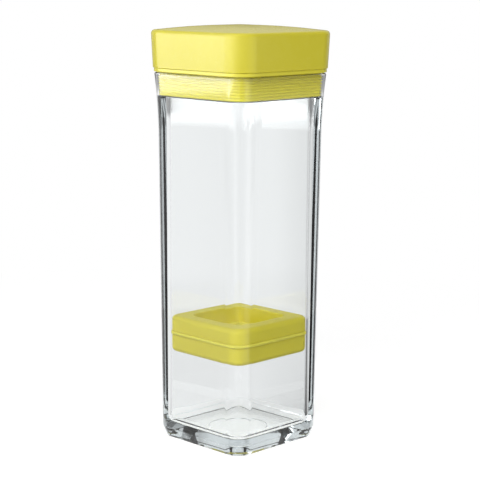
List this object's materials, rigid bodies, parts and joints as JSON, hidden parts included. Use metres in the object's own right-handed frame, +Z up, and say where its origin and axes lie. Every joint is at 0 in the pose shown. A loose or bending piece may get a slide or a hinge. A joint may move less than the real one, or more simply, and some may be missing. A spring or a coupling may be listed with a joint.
{
  "type": "herb keeper",
  "caption": "Tall clear square jar with a crowned lift-off lid, a ribbed lid seal and a lift-out insert that holds herb stems above water.",
  "frame": {"origin": "centre of the base, on the surface that the jar stands on", "axes": "+Z up along the jar's height; X and Y square to its side walls"},
  "size_m": [0.0782, 0.0782, 0.2369],
  "materials": {
    "clear_plastic": "clear, polished",
    "lid_plastic": "satin, opaque yellow",
    "seal_silicone": "soft, matt yellow",
    "insert_plastic": "satin, opaque yellow",
    "grip_silicone": "soft, matt yellow"
  },
  "bodies": {
    "jar": {"container": "clear_plastic"},
    "lid": {"lid_cap": "lid_plastic", "lid_plug": "lid_plastic", "lid_seal": "seal_silicone"},
    "insert": {"insert_cover": "insert_plastic", "stem_grip": "grip_silicone", "insert_base": "insert_plastic"}
  },
  "joints": [
    {"name": "lid_lift", "type": "slide", "parent": "jar", "child": "lid", "axis": [0, 0, 1], "range_m": [0, 0.06]},
    {"name": "insert_lift", "type": "slide", "parent": "jar", "child": "insert", "axis": [0, 0, 1], "range_m": [0, 0.12]}
  ]
}
